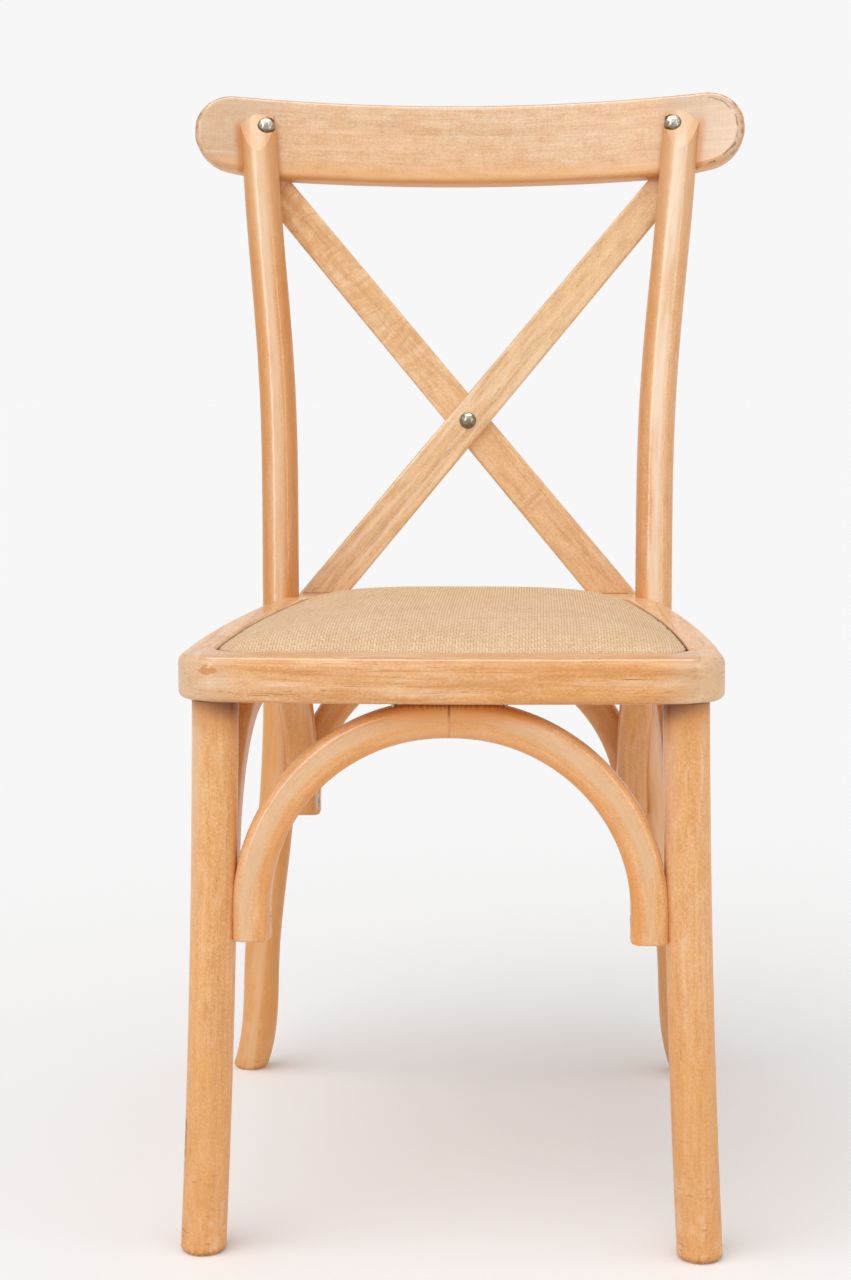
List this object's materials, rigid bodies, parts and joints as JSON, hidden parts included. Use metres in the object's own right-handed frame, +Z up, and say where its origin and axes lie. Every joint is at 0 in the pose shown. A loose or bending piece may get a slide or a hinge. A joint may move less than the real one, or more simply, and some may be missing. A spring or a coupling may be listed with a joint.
{
  "type": "cross back dining chair",
  "caption": "Wooden dining chair with crossed slats under a curved crest rail, a drop-in woven seat in a rounded ring, and bentwood arches between round legs.",
  "frame": {"origin": "on the floor, at the middle of the bounding box's underside", "axes": "+Z up; -Y is the way the sitter faces; +X to the right seen from the front"},
  "size_m": [0.488, 0.5448, 0.8871],
  "materials": {
    "frame_wood": "satin",
    "slat_wood": "satin",
    "plywood": "matte",
    "dowel_wood": "matte",
    "seat_padding": "matte",
    "woven_rattan": "matte",
    "bolt_steel": "satin",
    "dark_steel": "satin",
    "screw_steel": "satin"
  },
  "bodies": {
    "root": {"arch_leg_screws": "screw_steel", "arch_seat_screws": "screw_steel", "board_screws": "screw_steel", "corner_dowels": "dowel_wood", "crest_bolts": "bolt_steel", "crest_nuts": "bolt_steel", "crest_rail": "frame_wood", "crest_washers": "bolt_steel", "cross_bolt": "dark_steel", "cross_nut": "bolt_steel", "cross_slat_front": "slat_wood", "cross_slat_rear": "slat_wood", "front_arch_left": "frame_wood", "front_arch_right": "frame_wood", "front_leg_left": "frame_wood", "front_leg_right": "frame_wood", "left_arch_front": "frame_wood", "left_arch_rear": "frame_wood", "post_screws": "screw_steel", "rattan_sheet": "woven_rattan", "rear_arch_left": "frame_wood", "rear_arch_right": "frame_wood", "rear_post_left": "frame_wood", "rear_post_right": "frame_wood", "right_arch_front": "frame_wood", "right_arch_rear": "frame_wood", "seat_board": "plywood", "seat_front_rail": "frame_wood", "seat_padding": "seat_padding", "seat_rear_rail": "frame_wood", "seat_side_rail_left": "frame_wood", "seat_side_rail_right": "frame_wood", "slat_screws": "screw_steel"}
  },
  "joints": []
}
